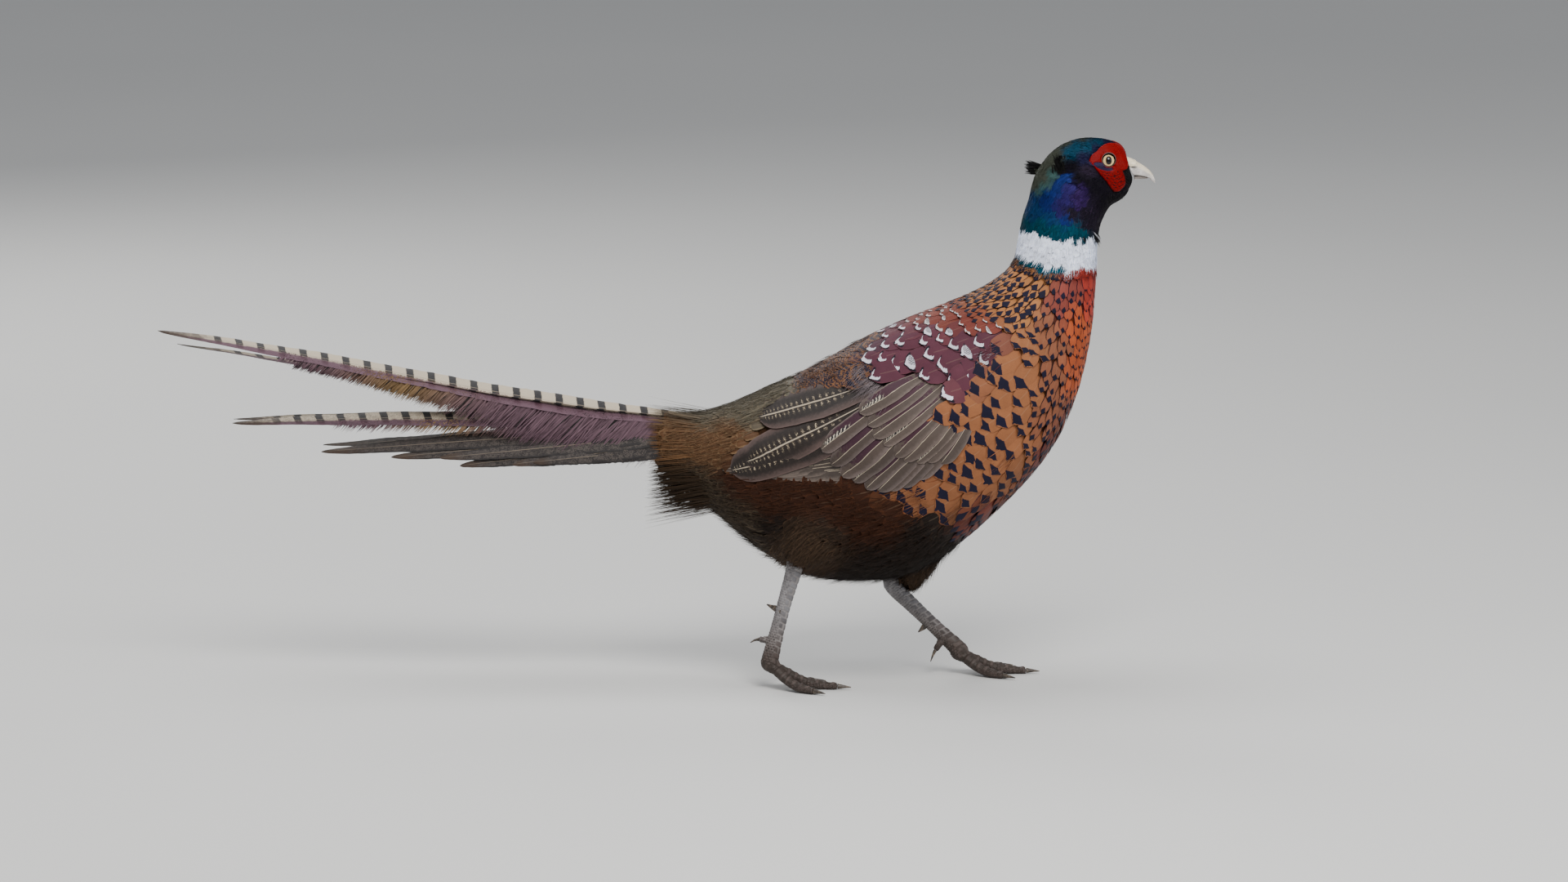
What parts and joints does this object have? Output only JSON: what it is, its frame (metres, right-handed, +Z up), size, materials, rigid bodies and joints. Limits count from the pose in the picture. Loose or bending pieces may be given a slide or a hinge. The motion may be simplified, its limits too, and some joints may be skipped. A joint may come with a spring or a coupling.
{
  "type": "common pheasant",
  "caption": "Life-size still model of a walking cock pheasant with long barred tail, folded wings, ringed neck and red face, standing on two feet.",
  "frame": {"origin": "on the floor, under the middle of the bird's box", "axes": "+X forward to the bill, +Y to the bird's left, +Z up"},
  "size_m": [0.6823, 0.146, 0.3772],
  "materials": {
    "body_plumage": "copper and gold feathers with dark edges",
    "ring_plumage": "white feathers",
    "neck_plumage": "glossy blue-green feathers",
    "wing_plumage": "brown-grey flight feathers with pale edges",
    "tail_plumage": "buff feathers with black bars and mauve fringes",
    "facial_skin": "red, finely pimpled bare skin",
    "horn_bill": "pale horn",
    "eye": "wet, pale yellow iris and black pupil",
    "leg_scales": "grey scales",
    "claw_horn": "dark horn"
  },
  "bodies": {
    "root": {"torso": "body_plumage", "neck_ring": "ring_plumage", "neck": "neck_plumage", "head": "neck_plumage", "bill_upper": "horn_bill", "bill_lower": "horn_bill", "eye_right": "eye", "eye_left": "eye", "wattle_right": "facial_skin", "wattle_left": "facial_skin", "wing_right": "wing_plumage", "wing_left": "wing_plumage", "tail": "tail_plumage", "thigh_right": "body_plumage", "thigh_left": "body_plumage", "shank_right": "leg_scales", "shank_left": "leg_scales", "spur_right": "claw_horn", "spur_left": "claw_horn", "foot_right": "leg_scales", "foot_left": "leg_scales", "claw_right_inner": "claw_horn", "claw_right_middle": "claw_horn", "claw_right_outer": "claw_horn", "claw_right_hind": "claw_horn", "claw_left_inner": "claw_horn", "claw_left_middle": "claw_horn", "claw_left_outer": "claw_horn", "claw_left_hind": "claw_horn"}
  },
  "joints": []
}
